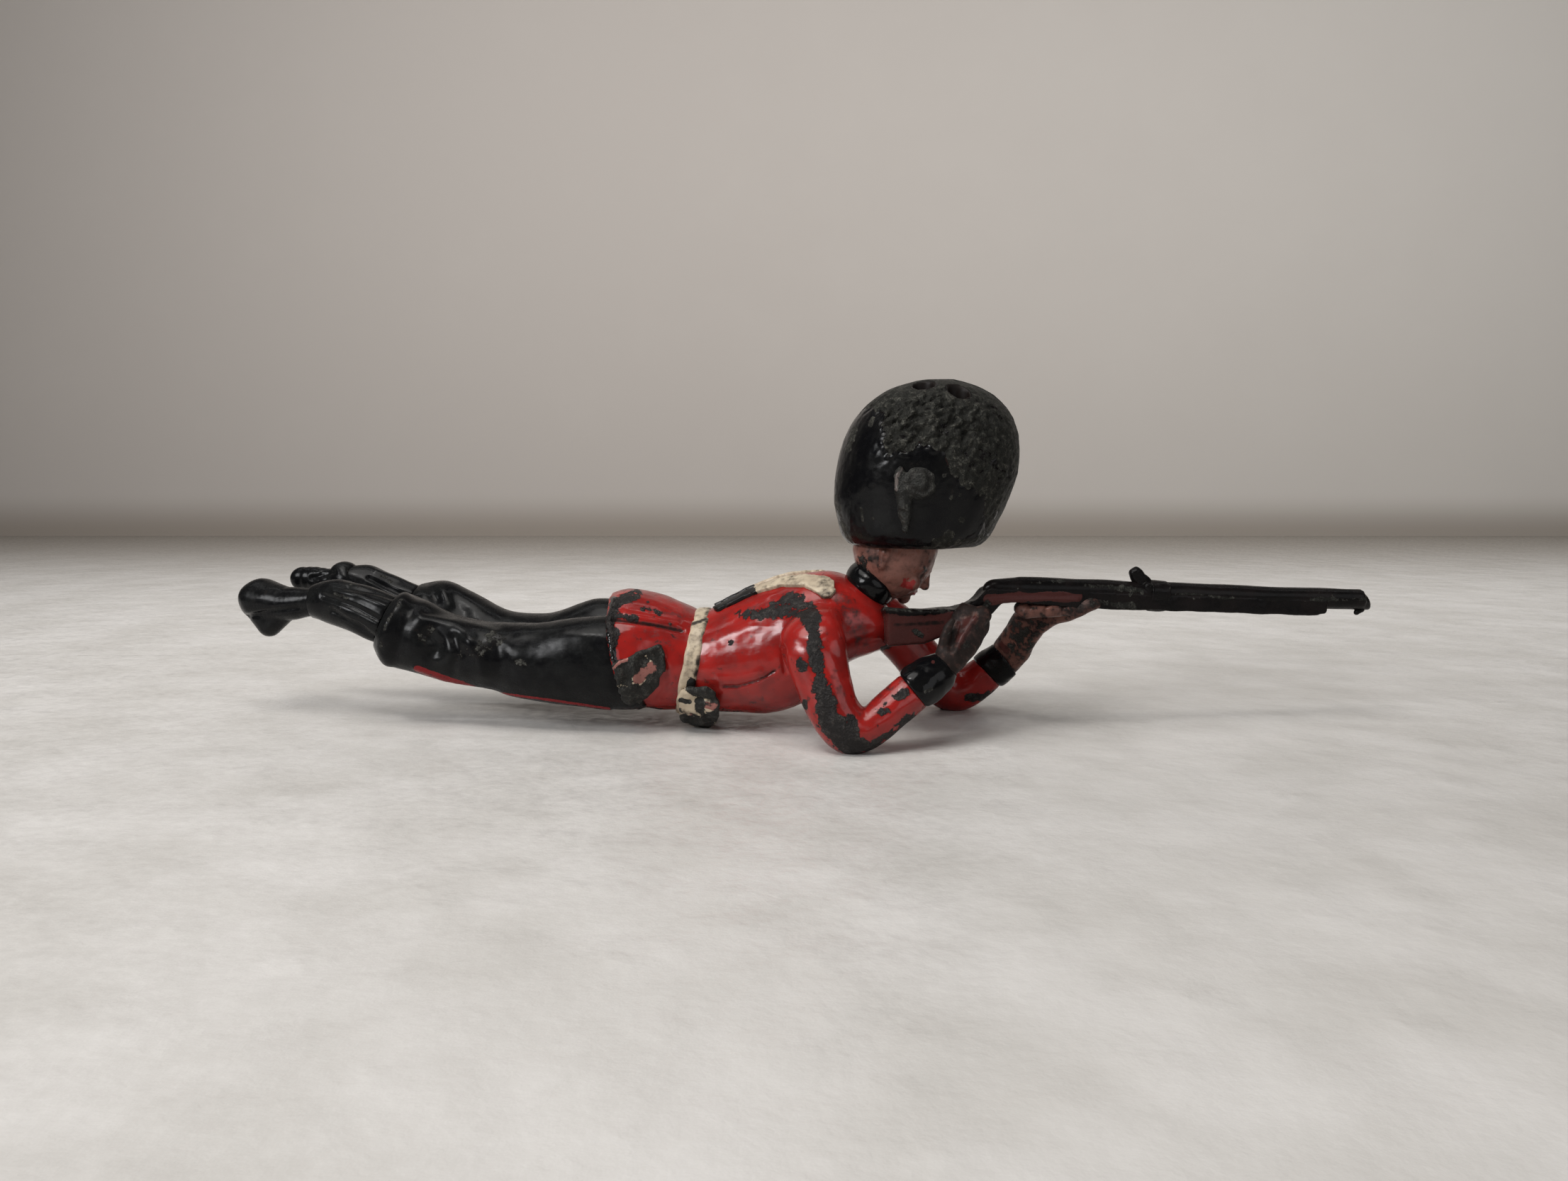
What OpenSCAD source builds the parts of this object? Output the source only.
// A prone toy soldier in a tall fur cap, aiming a rifle, hollow cast in lead alloy and painted.
// Millimetres. The rifle points along +X, +Z is up, and the soldier's right side faces -Y.
// The origin lies on the table, below the middle of the figure's box.

/* [Body] */
// Length of the tunic from the belt to the front of the chest
torso_length = 15.2; // [14.4:0.1:16]
// Greatest width of the chest
torso_width = 10.4; // [9.6:0.1:11.2]
// Greatest depth from the back to the belly
torso_depth = 10; // [9.4:0.1:10.6]
// Length of the tunic's skirt behind the belt
skirt_length = 5.2; // [4.8:0.1:5.6]
// Turn of the body away from the line of fire, seen from above, in degrees
body_turn = 9; // [6:1:12]

/* [Legs] */
// Length of a trouser leg from the skirt's hem to its own bloused hem
trouser_length = 18.2; // [16:0.1:20]
// Width of a thigh at the hem of the skirt
thigh_width = 6.2; // [5.6:0.1:6.4]
// How far the skirt's hem stands out above and below a thigh
hem_relief = 0.75; // [0.65:0.05:0.95]
// Distance between the middles of the two thighs
thigh_spacing = 6.4; // [6.4:0.1:6.8]
// Length of a gaiter from the trouser hem to the ankle
gaiter_length = 6.6; // [6:0.1:8]
// Width of a gaiter at its top
gaiter_width = 3.6; // [3.2:0.1:4]
// Depth of a gaiter at its top
gaiter_depth = 3.9; // [3.5:0.1:4.2]
// Reach of the right boot behind the ankle
boot_length = 6.7; // [6.2:0.1:7.4]
// Height of the right ankle over the table
right_ankle_height = 9; // [8:0.1:10]
// Height of the left ankle over the table
left_ankle_height = 10.2; // [9.2:0.1:11]

/* [Arms] */
// Depth of the shoulder joints below the top of the back
shoulder_drop = 1.1; // [0.8:0.1:1.4]
// Thickness of a sleeve, seen from the side
sleeve_depth = 4.2; // [3.8:0.1:4.6]
// Width of a sleeve, seen from the front
sleeve_width = 3.6; // [3.2:0.1:4]
// How far the right elbow stands out beyond the side of the chest
right_elbow_splay = 1.9; // [1.6:0.1:2.4]
// How far the left elbow stands out beyond the side of the chest
left_elbow_splay = 1.8; // [1.4:0.1:2.4]
// Depth of the wear flat on which an elbow rests
elbow_flat = 0.25; // [0.15:0.05:0.35]

/* [Head and collar] */
// Width of the head
head_width = 5.4; // [5:0.1:5.8]
// Length of the head from the back to the face
head_length = 5.5; // [5.2:0.1:5.8]
// Height of the head that shows below the cap
head_height = 3.4; // [3.1:0.1:3.6]
// Diameter of the collar from the nape to the throat
collar_diameter = 3.8; // [3.4:0.1:4.2]
// Height of the collar along the neck
collar_height = 2; // [1.7:0.1:2.4]

/* [Cap] */
// Length of the fur cap from back to front
cap_length = 13.9; // [13:0.1:14.6]
// Width of the fur cap from side to side
cap_width = 11.8; // [11:0.1:12.6]
// Height of the fur cap from its base to its crown
cap_height = 12.1; // [11.2:0.1:13]
// Height of the cap's base over the top of the back
cap_rise = 3.8; // [3.5:0.1:4.1]
// Diameter of a casting vent in the crown
vent_diameter = 0.9; // [0.7:0.1:1.1]
// Diameter of the plume's round base
plume_diameter = 2.4; // [2.1:0.1:2.7]
// Length of the plume's tail below its round base
plume_tail = 3.2; // [2.6:0.1:3.6]
// How far the plume's round base stands out from the fur
plume_relief = 0.5; // [0.3:0.1:0.8]

/* [Rifle] */
// Length of the barrel from the breech to the muzzle
barrel_length = 31; // [28:0.1:34]
// Diameter of the barrel
barrel_diameter = 1.6; // [1.4:0.1:1.7]
// Length of the butt behind the breech
butt_length = 7.7; // [7.2:0.1:7.9]
// Depth of the butt at its heel
butt_depth = 2.6; // [2.2:0.1:3]
// Width of the stock
stock_width = 1.7; // [1.7:0.1:2]
// Depth of the fore-stock below the barrel's middle
stock_depth = 1.15; // [1:0.05:1.4]
// Length of bare barrel beyond the stock
muzzle_length = 4.1; // [3:0.1:5]
// Height of the rear sight over the barrel
sight_height = 1.1; // [0.7:0.1:1.4]
// Droop of the muzzle below level, in degrees
rifle_droop = 3; // [1:1:4]
// Turn of the muzzle towards the soldier's left, in degrees
rifle_turn = 10; // [8:1:12]

/* [Belt and pouches] */
// Width of the waist belt
belt_width = 1.1; // [0.9:0.1:1.4]
// How far belts, straps and pouches stand out from the cloth
kit_relief = 0.35; // [0.25:0.05:0.5]
// Width of a shoulder strap
strap_width = 1.5; // [1.2:0.1:1.8]
// Length of a front pouch along the body
pouch_length = 3; // [2.6:0.1:3.4]
// Height of a front pouch's top over the table
pouch_height = 3.7; // [3.3:0.1:4.1]
// Gap between the two front pouches, across the belly
pouch_gap = 0.8; // [0.4:0.1:1.2]
// Depth of the flat under the front pouches
pouch_flat = 0.25; // [0.15:0.05:0.4]

/* [Casting] */
// Wall of the hollow cap, tunic and trouser legs
wall = 1; // [0.8:0.1:1.2]

/* [Hidden] */

// Colours of the worn enamel
fur_black = [0.10, 0.10, 0.11];
cloth_red = [0.70, 0.14, 0.11];
strap_cream = [0.80, 0.76, 0.62];
skin_pink = [0.66, 0.44, 0.38];
trouser_black = [0.13, 0.13, 0.14];
bare_grey = [0.36, 0.36, 0.34];
rifle_black = [0.12, 0.11, 0.11];

// Facets round a limb, round the large forms and round a hollow, and rings between two sections
limb_sides = 16;
body_sides = 24;
hollow_sides = 14;
ring_steps = 3;
few_steps = 2;
seam_share = 0.1;

// Overrun of a cut past the surface that it opens
overrun = 1;

// Spans that stay solid at the far end of a hollow, and at the hem of the skirt
solid_spans = 3;
hem_spans = 1;

// Heights over the table, and places out from the body's middle, that follow the tunic's size
hip_height = 0.5 * torso_depth;
thigh_depth = 0.89 * torso_depth - 2 * hem_relief;
shoulder_height = torso_depth - shoulder_drop;
cap_base_height = torso_depth + cap_rise;
right_elbow_out = torso_width / 2 + right_elbow_splay;
left_elbow_out = torso_width / 2 + left_elbow_splay;

// Reach of the figure behind and ahead of the belt, which centres it on the origin
back_reach = skirt_length + trouser_length + gaiter_length + boot_length;
butt_set = 0.06 * torso_length;
breech_forward = torso_length - butt_set + butt_length * cos(rifle_turn);
front_reach = breech_forward + barrel_length * cos(rifle_turn) * cos(rifle_droop);
waist_x = (back_reach - front_reach) / 2;
hem_x = waist_x - skirt_length;
cuff_x = hem_x - trouser_length;
ankle_x = cuff_x - gaiter_length;
neck_x = waist_x + 0.92 * torso_length;

// Reach to each side of the neck, out to the right elbow and to the left trouser hem, which
// centres the figure sideways
near_reach = right_elbow_out + 0.48 * sleeve_width;
far_hem = thigh_spacing / 2 + 0.45 * thigh_width;
far_reach = tan(body_turn) * (neck_x - cuff_x - 0.06 * trouser_length) + far_hem;
neck_y = (near_reach - far_reach) / 2;
function body_y(x) = neck_y + (neck_x - x) * tan(body_turn);

// A section is its middle x, y and z, the lean of its plane in degrees, and its half width,
// half height above the middle and half height below it
function curve_mix(a, b, c, d, t) =
    (2 * b + (c - a) * t + (2 * a - 5 * b + 4 * c - d) * t * t + (3 * b - a - 3 * c + d) * t * t * t) / 2;

// Sections added between the given ones along a smooth curve
function smooth(list, steps) = let (last = len(list) - 1) [
    for (i = [0 : last - 1], k = [0 : steps - 1])
        curve_mix(list[max(i - 1, 0)], list[i], list[i + 1], list[min(i + 2, last)], k / steps),
    list[last]
];

// The same sections, thicker by an amount all round
function grown(list, amount) = [for (s = list) s + amount * [0, 0, 0, 0, 1, 1, 1]];

// Points round a section
function ring(s, sides) = [
    for (k = [0 : sides - 1])
        let (
            turn = 360 * k / sides,
            across = cos(turn) * s[4],
            rise = sin(turn) * (turn < 180 ? s[5] : s[6])
        )
        [s[0] - rise * sin(s[3]), s[1] + across, s[2] + rise * cos(s[3])]
];

// A limb or body through its sections. Each span also reaches a little way into the next one,
// at its middle, so that the spans join as one solid
module loft(list, sides) {
    last = len(list) - 1;
    for (i = [0 : last - 1]) {
        inner = list[i + 1] + seam_share * (list[min(i + 2, last)] - list[i + 1]);
        points = concat(ring(list[i], sides), ring(list[i + 1], sides), [[inner[0], inner[1], inner[2]]]);
        hull() polyhedron(points, [[for (k = [0 : len(points) - 1]) k]]);
    }
}

// The hollow inside a casting, open at its first section, where it runs on by the overrun.
// Forward is 1 where the sections run towards +X, and -1 where they run back
module hollow(list, last, forward) {
    inside = grown([for (i = [0 : last]) list[i]], -wall);
    loft(concat([inside[0] - forward * overrun * [1, 0, 0, 0, 0, 0, 0]], inside), hollow_sides);
}

module above_table() {
    reach = back_reach + front_reach;
    translate([0, 0, reach / 2]) cube(reach * 2 * [1, 1, 0] + [0, 0, reach], center = true);
}

// Tunic: forward, sideways, height, lean, half width, half height above and below,
// in shares of the torso's length, width and depth
torso_shares = [
    [0.00, 0, 0.475, -11, 0.425, 0.385, 0.370],
    [0.17, 0, 0.500, -4, 0.445, 0.450, 0.400],
    [0.40, 0, 0.570, 4, 0.475, 0.520, 0.460],
    [0.58, 0, 0.680, 8, 0.490, 0.480, 0.430],
    [0.74, 0, 0.790, 8, 0.450, 0.395, 0.300],
    [0.88, 0, 0.790, 4, 0.330, 0.275, 0.210],
    [0.97, 0, 0.760, 0, 0.220, 0.150, 0.130],
    [1.00, 0, 0.750, 0, 0.060, 0.050, 0.050]
];
torso_sections = smooth([
    for (s = torso_shares)
        let (x = waist_x + s[0] * torso_length)
        [x, body_y(x) + s[1] * torso_width, s[2] * torso_depth, s[3],
         s[4] * torso_width, s[5] * torso_depth, s[6] * torso_depth]
], few_steps);

// Skirt: back from the belt in shares of its length, the rest as for the tunic
skirt_shares = [
    [0.00, 0.475, -11, 0.425, 0.385, 0.370],
    [0.40, 0.510, 2, 0.470, 0.470, 0.410],
    [0.75, 0.520, 9, 0.550, 0.515, 0.410],
    [1.00, 0.520, 13, 0.600, 0.480, 0.410]
];
skirt_sections = smooth([
    for (s = skirt_shares)
        let (x = waist_x - s[0] * skirt_length)
        [x, body_y(x), s[1] * torso_depth, s[2],
         s[3] * torso_width, s[4] * torso_depth, s[5] * torso_depth]
], few_steps);

module torso_form(extra = 0) {
    loft(grown(torso_sections, extra), body_sides);
}

module skirt_form(extra = 0) {
    loft(grown(skirt_sections, extra), body_sides);
}

module tunic_body() {
    last = len(torso_sections) - 1 - solid_spans;
    color(cloth_red) difference() {
        torso_form();
        hollow(torso_sections, last, 1);
        collar_form();
    }
}

module tunic_skirt() {
    last = len(skirt_sections) - 1 - hem_spans;
    color(cloth_red) difference() {
        skirt_form();
        hollow(skirt_sections, last, -1);
    }
}

// Belt: the waist's own section, thicker and moved along the body. Its shares are the place along
// half its width and its relief, which falls off at both edges
belt_shares = [[-1, 0.7], [-0.8, 1], [0.8, 1], [1, 0.7]];

function waist_section(along) = torso_sections[0] + along * belt_width / 2 * [1, 0, 0, 0, 0, 0, 0];

module belt_form() {
    loft([for (s = belt_shares) grown([waist_section(s[0])], s[1] * kit_relief)[0]], body_sides);
}

module waist_belt() {
    color(strap_cream) difference() {
        belt_form();
        loft([for (side = [-1, 1]) waist_section(side * (1 + overrun))], body_sides);
    }
}

// Shoulder strap: the thickened chest between an upper and a lower line, above the armpit
strap_shares = [[0.03, 0.80], [0.15, 0.86], [0.33, 0.97], [0.52, 1.05], [0.68, 1.04]];

module strap(side) {
    line = [for (s = strap_shares) [waist_x + s[0] * torso_length, s[1] * torso_depth]];
    last = len(line) - 1;
    edge = [0, strap_width / 2];
    middle_y = body_y(waist_x) + side * torso_width / 2;
    color(strap_cream) difference() {
        intersection() {
            torso_form(kit_relief);
            translate([0, middle_y + torso_width / 2, 0]) rotate([90, 0, 0]) linear_extrude(torso_width)
                polygon(concat([for (p = line) p + edge], [for (i = [last : -1 : 0]) line[i] - edge]));
        }
        torso_form();
        if (side > 0) left_arm_form(); else right_arm_form();
    }
}

module right_shoulder_strap() { strap(-1); }
module left_shoulder_strap() { strap(1); }

// Front pouches: lumps of one thicker belly, which reaches the table, to each side of its middle
belly_sections = [skirt_sections[2], torso_sections[0], torso_sections[2], torso_sections[4]];
pouch_sections = [
    for (s = belly_sections) [s[0], s[1], s[2], s[3], s[4] + 2 * kit_relief, s[5], s[2] + pouch_flat]
];

module front_pouch(side) {
    x = waist_x + 0.24 * pouch_length;
    corner = 0.2 * pouch_height;
    reach = pouch_length / 2 - corner;
    color(bare_grey) difference() {
        intersection() {
            loft(pouch_sections, body_sides);
            above_table();
            translate([x, body_y(x) + side * (pouch_gap + torso_width) / 2, 0])
                rotate([90, 0, 0]) translate([0, 0, -torso_width / 2]) linear_extrude(torso_width)
                    hull() for (u = [-1, 1], v = [0, 1])
                        translate([u * reach, corner + v * (pouch_height - 2 * corner)])
                            circle(corner, $fn = 24);
        }
        loft(belly_sections, body_sides);
        belt_form();
    }
}

module right_front_pouch() { front_pouch(-1); }
module left_front_pouch() { front_pouch(1); }

// Hip pouch: a lump of the thicker skirt inside an outline seen from the side, in shares of the
// skirt's length and depth
hip_pouch_shares = [
    [0.94, 0.53], [0.36, 0.67], [0.25, 0.47], [0.35, 0.335],
    [0.51, 0.26], [0.66, 0.21], [0.80, 0.22], [0.89, 0.34]
];

module hip_pouch() {
    middle_y = body_y(hem_x) - torso_width / 10;
    color(bare_grey) difference() {
        intersection() {
            skirt_form(1.2 * kit_relief);
            translate([waist_x, middle_y, 0]) rotate([90, 0, 0]) linear_extrude(torso_width)
                polygon([for (s = hip_pouch_shares) [-s[0] * skirt_length, s[1] * torso_depth]]);
        }
        skirt_form();
    }
}

// Right arm: forward of the shoulder in shares of its reach, out in shares of the elbow's stand-out,
// height in shares of the shoulder's, lean, then half width and half depth in shares of the sleeve's
right_reach = 0.74 * torso_length;
left_reach = 0.92 * torso_length;
right_shoulder_x = waist_x + 0.60 * torso_length;
left_shoulder_x = waist_x + 0.74 * torso_length;
elbow_rise = 0.44 * sleeve_depth - elbow_flat;

right_arm_shares = [
    [0.02, 0.55, 1.10, -80, 0.30, 0.30, 0.30],
    [-0.01, 0.70, 0.96, -80, 0.48, 0.50, 0.52],
    [0.00, 0.82, 0.76, -78, 0.53, 0.53, 0.56],
    [0.07, 0.91, 0.46, -74, 0.52, 0.43, 0.52],
    [0.14, 0.98, 0.19, -62, 0.50, 0.36, 0.49],
    [0.23, 1.00, 0.00, -34, 0.48, 0.41, 0.46],
    [0.35, 0.98, 0.03, 8, 0.46, 0.38, 0.38],
    [0.48, 0.92, 0.17, 34, 0.43, 0.36, 0.34],
    [0.625, 0.85, 0.34, 40, 0.40, 0.36, 0.31]
];

left_arm_shares = [
    [-0.02, 0.45, 1.02, -50, 0.30, 0.34, 0.34],
    [0.12, 0.62, 0.98, -50, 0.45, 0.46, 0.46],
    [0.28, 0.82, 0.78, -46, 0.50, 0.48, 0.48],
    [0.43, 0.92, 0.46, -46, 0.50, 0.46, 0.46],
    [0.56, 0.98, 0.16, -40, 0.48, 0.45, 0.45],
    [0.67, 1.00, 0.00, -8, 0.46, 0.42, 0.43],
    [0.77, 0.97, 0.06, 20, 0.44, 0.39, 0.40],
    [0.86, 0.88, 0.22, 44, 0.42, 0.35, 0.35]
];

function arm_section(s, side, shoulder_x, reach, out) =
    [shoulder_x + s[0] * reach, neck_y + side * s[1] * out,
     elbow_rise + s[2] * (shoulder_height - elbow_rise), s[3],
     s[4] * sleeve_width, s[5] * sleeve_depth, s[6] * sleeve_depth];

right_arm_sections = smooth([
    for (s = right_arm_shares) arm_section(s, -1, right_shoulder_x, right_reach, right_elbow_out)
], few_steps);
left_arm_sections = smooth([
    for (s = left_arm_shares) arm_section(s, 1, left_shoulder_x, left_reach, left_elbow_out)
], few_steps);

module right_arm_form() { loft(right_arm_sections, limb_sides); }
module left_arm_form() { loft(left_arm_sections, limb_sides); }

module right_sleeve() {
    color(cloth_red) difference() {
        intersection() {
            right_arm_form();
            above_table();
        }
        torso_form();
    }
}

module left_sleeve() {
    color(cloth_red) difference() {
        intersection() {
            left_arm_form();
            above_table();
        }
        torso_form();
    }
}

// Cuffs and hands go on from the sleeve's last section
right_cuff_shares = [
    [0.625, 0.85, 0.34, 40, 0.44, 0.40, 0.34],
    [0.69, 0.81, 0.41, 41, 0.45, 0.41, 0.37],
    [0.78, 0.74, 0.51, 42, 0.40, 0.34, 0.34],
    [0.83, 0.69, 0.57, 44, 0.34, 0.26, 0.26]
];
right_hand_shares = [
    [0.83, 0.69, 0.57, 44, 0.26, 0.24, 0.24],
    [0.90, 0.58, 0.68, 50, 0.26, 0.28, 0.28],
    [0.97, 0.47, 0.84, 60, 0.26, 0.32, 0.32],
    [1.01, 0.42, 0.98, 68, 0.25, 0.33, 0.34],
    [1.03, 0.38, 1.10, 74, 0.16, 0.22, 0.22]
];
left_cuff_shares = [
    [0.86, 0.88, 0.22, 44, 0.45, 0.38, 0.38],
    [0.89, 0.82, 0.28, 43, 0.46, 0.39, 0.39],
    [0.92, 0.75, 0.34, 40, 0.45, 0.37, 0.37],
    [0.94, 0.70, 0.39, 38, 0.44, 0.36, 0.36]
];
left_hand_shares = [
    [0.94, 0.70, 0.39, 38, 0.38, 0.33, 0.33],
    [1.00, 0.56, 0.54, 40, 0.38, 0.42, 0.28],
    [1.06, 0.38, 0.76, 34, 0.38, 0.46, 0.20],
    [1.13, 0.18, 0.92, 16, 0.40, 0.34, 0.18],
    [1.22, 0.02, 0.99, 2, 0.40, 0.30, 0.15],
    [1.30, -0.05, 1.05, -2, 0.35, 0.22, 0.10],
    [1.36, -0.07, 1.08, -4, 0.22, 0.12, 0.06]
];

function right_arm_part(list) = smooth([
    for (s = list) arm_section(s, -1, right_shoulder_x, right_reach, right_elbow_out)
], ring_steps);
function left_arm_part(list) = smooth([
    for (s = list) arm_section(s, 1, left_shoulder_x, left_reach, left_elbow_out)
], ring_steps);

module right_cuff() {
    color(fur_black) loft(right_arm_part(right_cuff_shares), limb_sides);
}

module left_cuff() {
    color(fur_black) loft(left_arm_part(left_cuff_shares), limb_sides);
}

module right_hand() {
    color(skin_pink) difference() {
        loft(right_arm_part(right_hand_shares), limb_sides);
        stock_form();
        barrel_form();
    }
}

module left_hand() {
    color(skin_pink) difference() {
        loft(left_arm_part(left_hand_shares), limb_sides);
        stock_form();
        barrel_form();
    }
}

// Collar: a bulging band round the neck, which leans forward
collar_tilt = 41;
collar_x = waist_x + 0.878 * torso_length;
collar_z = 1.085 * torso_depth;
collar_shares = [[-0.50, 0.62], [-0.32, 0.88], [0.00, 1.00], [0.32, 0.88], [0.50, 0.62]];

module collar_form() {
    loft(smooth([
        for (s = collar_shares)
            let (along = s[0] * collar_height, radius = s[1] * collar_diameter / 2)
            [collar_x + along * cos(collar_tilt), neck_y, collar_z + along * sin(collar_tilt),
             collar_tilt, 1.12 * radius, radius, radius]
    ], few_steps), limb_sides);
}

module collar() {
    color(fur_black) collar_form();
}

// Head: from the chin up to the cap's base, in shares of its height, length and width
head_x = waist_x + 0.99 * torso_length;
head_shares = [
    [0.00, 0.17, 0.14, 0.10, 0.10],
    [0.09, 0.16, 0.26, 0.22, 0.17],
    [0.23, 0.08, 0.37, 0.36, 0.31],
    [0.46, 0.01, 0.45, 0.44, 0.45],
    [0.70, 0.00, 0.49, 0.48, 0.50],
    [1.00, 0.00, 0.50, 0.49, 0.51]
];
chin_height = cap_base_height - head_height;
nose_shares = [[0.78, 0.50, 0.04], [0.55, 0.59, 0.065], [0.48, 0.42, 0.06]];
throat_shares = [[-0.04, -0.06, 0.16], [0.34, 0.00, 0.30]];

module head_form() {
    loft(smooth([
        for (s = head_shares)
            [head_x + s[1] * head_length, neck_y, chin_height + s[0] * head_height, 90,
             s[2] * head_width, s[3] * head_length, s[4] * head_length]
    ], few_steps), limb_sides);
    for (form_shares = [nose_shares, throat_shares])
        hull() for (s = form_shares)
            translate([head_x + s[1] * head_length, neck_y, chin_height + s[0] * head_height])
                sphere(s[2] * head_width, $fn = 16);
}

module head() {
    color(skin_pink) difference() {
        head_form();
        collar_form();
        torso_form();
        translate([head_x, neck_y, cap_base_height + head_height])
            cube(2 * [head_length, head_length, head_height], center = true);
    }
}

// Cap: height, half width, half length behind and ahead, in shares of its sizes
cap_x = waist_x + 1.15 * torso_length;
cap_shares = [
    [0.00, 0.390, 0.428, 0.295],
    [0.05, 0.430, 0.452, 0.325],
    [0.12, 0.465, 0.466, 0.357],
    [0.28, 0.490, 0.489, 0.424],
    [0.48, 0.500, 0.475, 0.478],
    [0.66, 0.475, 0.432, 0.471],
    [0.82, 0.395, 0.345, 0.410],
    [0.93, 0.260, 0.223, 0.295],
    [0.985, 0.120, 0.083, 0.144],
    [1.00, 0.030, 0.020, 0.050]
];
cap_sections = smooth([
    for (s = cap_shares)
        [cap_x, neck_y, cap_base_height + s[0] * cap_height, 90,
         s[1] * cap_width, s[2] * cap_length, s[3] * cap_length]
], few_steps);
vent_shares = [-0.02, 0.16];

module cap_hollow() {
    shrink_x = (cap_length - 2 * wall) / cap_length;
    shrink_y = (cap_width - 2 * wall) / cap_width;
    shrink_z = (cap_height - 2 * wall) / cap_height;
    centre = [cap_x, neck_y, cap_base_height];
    translate(centre + [0, 0, wall]) scale([shrink_x, shrink_y, shrink_z]) translate(-centre)
        loft(cap_sections, hollow_sides);
}

module bearskin_cap() {
    color(fur_black) difference() {
        loft(cap_sections, body_sides);
        cap_hollow();
        for (share = vent_shares)
            translate([cap_x + share * cap_length, neck_y, cap_base_height + cap_height / 2])
                cylinder(d = vent_diameter, h = cap_height, $fn = 24);
    }
}

// Plume: a round base on the right of the cap with a tail that tapers down and back
plume_x = cap_x - 0.08 * cap_length;
plume_z = cap_base_height + 0.385 * cap_height;
plume_y = neck_y - 0.49 * cap_width;

// Tail: back, down and radius, in shares of the base's diameter and of the tail's length
plume_tail_shares = [[0.33, 0, 0.32], [0.50, 1, 0.16]];

module cap_plume() {
    depth = overrun + plume_relief;
    color(bare_grey) difference() {
        union() {
            translate([plume_x, plume_y + overrun, plume_z]) rotate([90, 0, 0])
                cylinder(d1 = plume_diameter, d2 = 0.8 * plume_diameter, h = depth, $fn = 32);
            hull() for (s = plume_tail_shares)
                translate([plume_x - s[0] * plume_diameter, plume_y, plume_z - s[1] * plume_tail])
                    sphere(s[2] * plume_diameter, $fn = 16);
        }
        loft(cap_sections, body_sides);
    }
}

// Rifle, drawn along its own barrel from the breech, then turned and lowered into place
rifle_x = waist_x + breech_forward;
rifle_y = neck_y - 0.24 * right_elbow_out;
rifle_z = 1.225 * shoulder_height;
barrel_radius = barrel_diameter / 2;
stock_end = barrel_length - muzzle_length;
band_forward = 0.40 * barrel_length;
band_length = 0.05 * barrel_length;

// Outline of the stock: along in shares of the butt behind the breech and of the fore-stock ahead
// of it, and down in shares of the butt's depth and of the stock's
butt_outline_shares = [
    [0.00, 0.00], [-0.03, 0.10], [-0.08, 0.38], [-0.14, 0.60], [-0.30, 0.70], [-0.60, 0.72], [-1.00, 0.70],
    [-0.97, 1.69], [-0.60, 1.53], [-0.42, 1.07], [-0.28, 0.90], [0.00, 0.50]
];
fore_outline_shares = [
    [0.05, 0.85], [0.25, 1.05], [0.44, 1.10], [0.56, 1.00], [0.98, 1.00], [1.00, 0.85], [1.00, 0]
];

module in_rifle_frame() {
    translate([rifle_x, rifle_y, rifle_z]) rotate([0, rifle_droop, rifle_turn]) children();
}

module stock_form() {
    outline = concat(
        [for (s = butt_outline_shares) [s[0] * butt_length, -s[1] * butt_depth]],
        [for (s = fore_outline_shares) [s[0] * stock_end, -s[1] * stock_depth]]
    );
    in_rifle_frame() rotate([90, 0, 0]) translate([0, 0, -stock_width / 2])
        linear_extrude(stock_width) polygon(outline);
}

// Barrel: tapered at the breech and rounded at the muzzle
module barrel_form() {
    in_rifle_frame() rotate([0, 90, 0]) {
        cylinder(r1 = 0.6 * barrel_radius, r2 = barrel_radius, h = barrel_radius, $fn = 32);
        translate([0, 0, barrel_radius])
            cylinder(r = barrel_radius, h = barrel_length - 2 * barrel_radius, $fn = 32);
        translate([0, 0, barrel_length - barrel_radius]) sphere(barrel_radius, $fn = 32);
    }
}

module rifle_stock() {
    color(rifle_black) difference() {
        stock_form();
        barrel_form();
        band_form();
        torso_form();
        right_arm_form();
    }
}

module rifle_barrel() {
    color(rifle_black) barrel_form();
}

module rear_sight() {
    color(rifle_black) difference() {
        in_rifle_frame() rotate([90, 0, 0]) translate([band_forward - sight_height, 0, -stock_width / 4])
            linear_extrude(stock_width / 2) polygon([
                [-0.2 * sight_height, 0], [-0.3 * sight_height, barrel_radius + 0.8 * sight_height],
                [0, barrel_radius + sight_height], [0.5 * sight_height, barrel_radius + 0.7 * sight_height],
                [1.2 * sight_height, 0]
            ]);
        barrel_form();
    }
}

// Band round the barrel and the stock
module band_form() {
    relief = 0.5 * kit_relief;
    in_rifle_frame() rotate([90, 0, 90]) translate([0, 0, band_forward])
        linear_extrude(band_length) hull() {
            circle(barrel_radius + relief, $fn = 32);
            for (side = [-1, 1])
                translate([side * stock_width / 4, stock_width / 4 - stock_depth])
                    circle(stock_width / 4 + relief, $fn = 24);
        }
}

module barrel_band() {
    color(rifle_black) difference() {
        band_form();
        barrel_form();
    }
}

module muzzle_lug() {
    lug = 0.45 * barrel_diameter;
    drop = barrel_radius + 0.6 * lug;
    color(rifle_black) difference() {
        in_rifle_frame() translate([barrel_length - barrel_radius - lug, -lug / 2, -drop])
            cube([lug, lug, drop]);
        barrel_form();
    }
}

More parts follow.
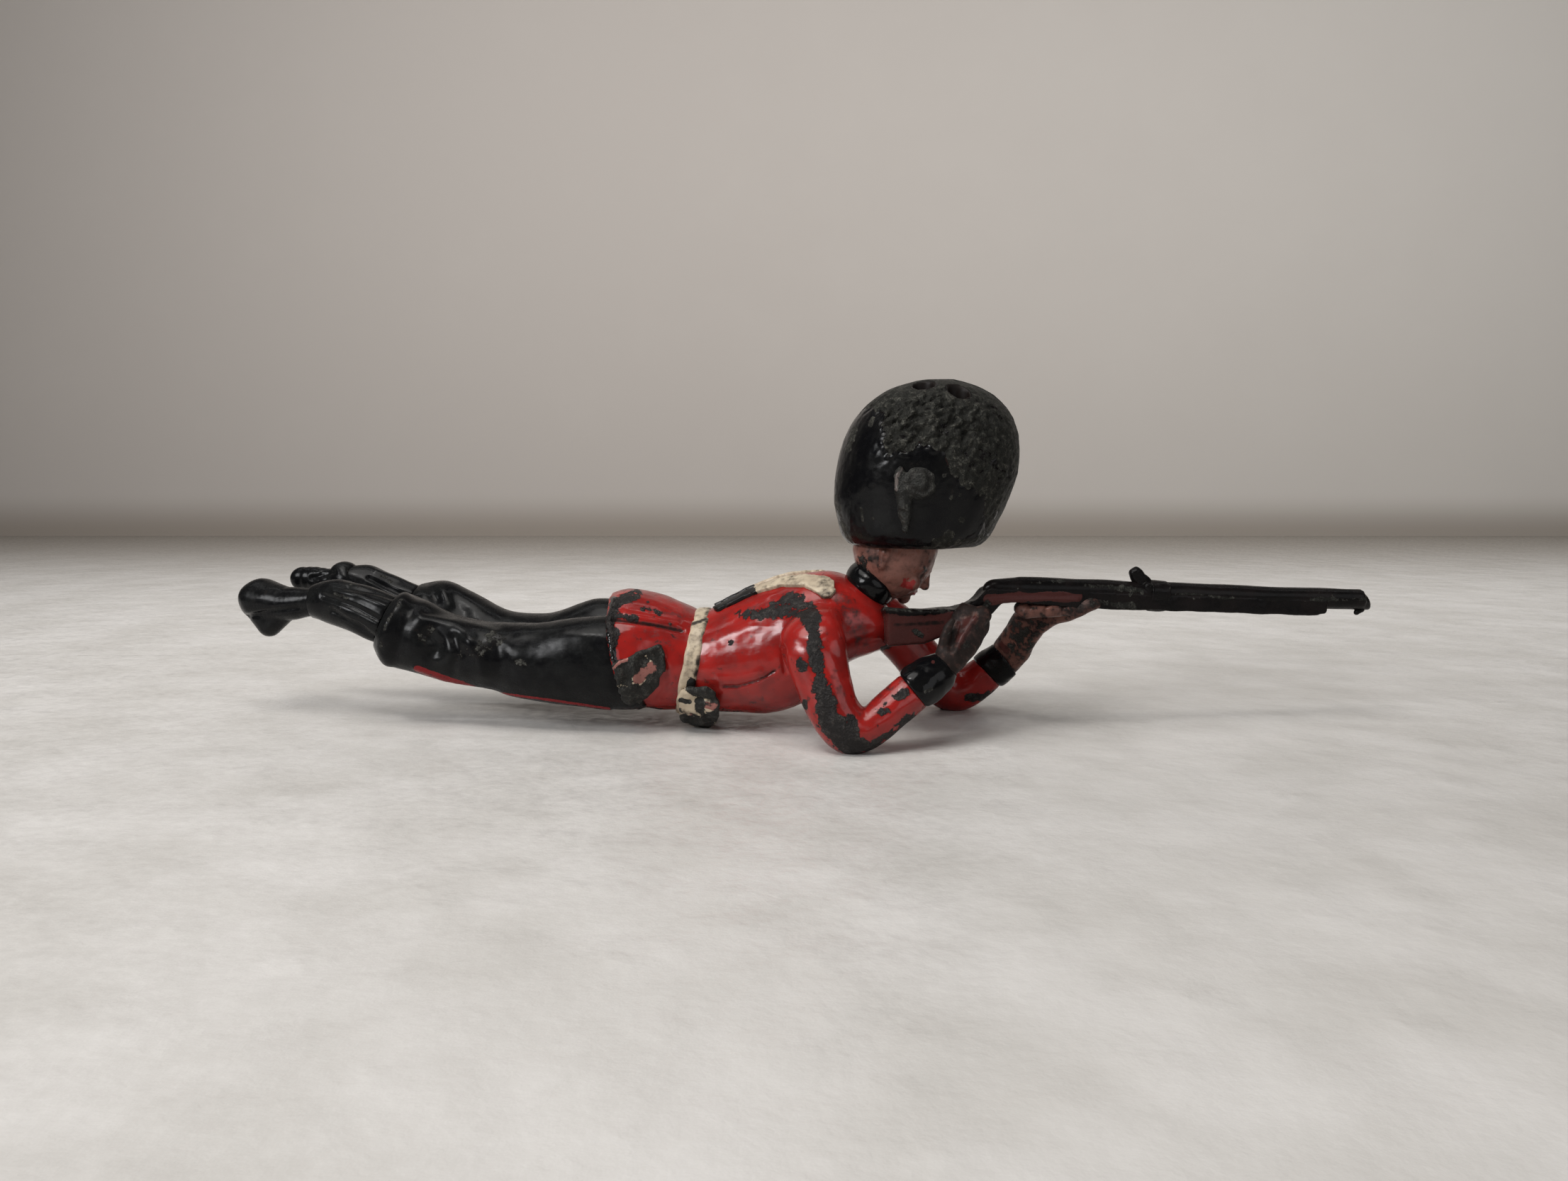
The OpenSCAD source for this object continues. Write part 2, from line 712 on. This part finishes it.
// Legs: back in shares of the length of each stretch, height in shares of the climb from the hips
// to the ankle, lean, then half width and half depth in shares
right_trouser_shares = [
    [0.00, 0.00, 14, 0.44, 0.50, 0.49],
    [0.14, 0.00, 8, 0.48, 0.46, 0.46],
    [0.36, -0.02, 0, 0.48, 0.39, 0.39],
    [0.55, 0.08, 0, 0.45, 0.36, 0.35],
    [0.72, 0.22, -6, 0.43, 0.35, 0.35],
    [0.87, 0.42, -14, 0.44, 0.38, 0.38],
    [0.95, 0.55, -20, 0.45, 0.38, 0.38],
    [1.00, 0.70, -24, 0.38, 0.31, 0.31]
];
left_trouser_shares = [
    [0.00, 0.02, 14, 0.44, 0.50, 0.49],
    [0.14, 0.06, 8, 0.48, 0.47, 0.46],
    [0.36, 0.00, 0, 0.48, 0.38, 0.39],
    [0.55, 0.06, 0, 0.45, 0.35, 0.35],
    [0.72, 0.30, -6, 0.43, 0.36, 0.36],
    [0.85, 0.45, -10, 0.44, 0.39, 0.38],
    [0.94, 0.50, -14, 0.45, 0.37, 0.37],
    [1.00, 0.56, -16, 0.38, 0.29, 0.29]
];
right_gaiter_shares = [
    [0.00, 0.72, -24, 0.50, 0.50, 0.50],
    [0.38, 0.92, -18, 0.48, 0.49, 0.49],
    [0.72, 1.04, -8, 0.44, 0.44, 0.44],
    [1.00, 1.00, 0, 0.36, 0.33, 0.33]
];
left_gaiter_shares = [
    [0.00, 0.58, -16, 0.50, 0.48, 0.48],
    [0.30, 0.76, -16, 0.46, 0.44, 0.44],
    [0.58, 0.94, -10, 0.42, 0.41, 0.41],
    [0.80, 1.00, 0, 0.36, 0.33, 0.33]
];

// The feet draw together behind the gaiters
function leg_offset(share) = thigh_spacing / 2 * (1 - 0.35 * share * share);

function trouser_sections(list, side, climb) = smooth([
    for (s = list)
        let (x = hem_x - s[0] * trouser_length)
        [x, body_y(x) + side * thigh_spacing / 2, hip_height + s[1] * climb, s[2],
         s[3] * thigh_width, s[4] * thigh_depth, s[5] * thigh_depth]
], few_steps);

function gaiter_sections(list, side, climb) = smooth([
    for (s = list)
        let (x = cuff_x - s[0] * gaiter_length)
        [x, body_y(x) + side * leg_offset(s[0]), hip_height + s[1] * climb, s[2],
         s[3] * gaiter_width, s[4] * gaiter_depth, s[5] * gaiter_depth]
], ring_steps);

right_climb = right_ankle_height - hip_height;
left_climb = left_ankle_height - hip_height;

module trouser_leg(list, side, climb) {
    sections = trouser_sections(list, side, climb);
    last = len(sections) - 1 - solid_spans;
    color(trouser_black) difference() {
        loft(sections, limb_sides);
        hollow(sections, last, -1);
    }
}

module right_trouser_leg() { trouser_leg(right_trouser_shares, -1, right_climb); }
module left_trouser_leg() { trouser_leg(left_trouser_shares, 1, left_climb); }

module right_gaiter() {
    color(trouser_black) loft(gaiter_sections(right_gaiter_shares, -1, right_climb), limb_sides);
}

module left_gaiter() {
    color(trouser_black) loft(gaiter_sections(left_gaiter_shares, 1, left_climb), limb_sides);
}

// Boots: each is a chain of rounded lumps, given as back, sideways, up and radius in shares of the
// boot's length from the ankle, and joined in the order of its runs
right_boot_shares = [
    [[0.00, 0.00, 0.00, 0.17], [0.36, 0.10, -0.05, 0.17]],
    [[0.36, 0.10, -0.05, 0.16], [0.76, 0.30, -0.01, 0.225]],
    [[0.36, 0.10, -0.12, 0.12], [0.61, 0.20, -0.32, 0.12], [0.72, 0.26, -0.08, 0.18]]
];
left_boot_shares = [
    [[0.00, 0.00, 0.00, 0.19], [0.04, 0.04, 0.04, 0.20]],
    [[0.04, 0.04, 0.00, 0.15], [0.62, 0.22, 0.02, 0.15]]
];

module boot(ankle, runs) {
    for (run = runs)
        hull() for (s = run)
            translate(ankle + boot_length * [-s[0], s[1], s[2]])
                sphere(s[3] * boot_length, $fn = 20);
}

module right_boot() {
    color(trouser_black) difference() {
        boot([ankle_x, body_y(ankle_x) - leg_offset(1), right_ankle_height], right_boot_shares);
        right_gaiter();
    }
}

module left_boot() {
    x = ankle_x + (1 - left_gaiter_shares[3][0]) * gaiter_length;
    color(trouser_black) difference() {
        boot([x, body_y(x) + leg_offset(1), left_ankle_height], left_boot_shares);
        left_gaiter();
    }
}

bearskin_cap();
cap_plume();
head();
collar();
tunic_body();
tunic_skirt();
waist_belt();
right_shoulder_strap();
left_shoulder_strap();
right_front_pouch();
left_front_pouch();
hip_pouch();
right_sleeve();
left_sleeve();
right_cuff();
left_cuff();
right_hand();
left_hand();
rifle_stock();
rifle_barrel();
rear_sight();
barrel_band();
muzzle_lug();
right_trouser_leg();
left_trouser_leg();
right_gaiter();
left_gaiter();
right_boot();
left_boot();
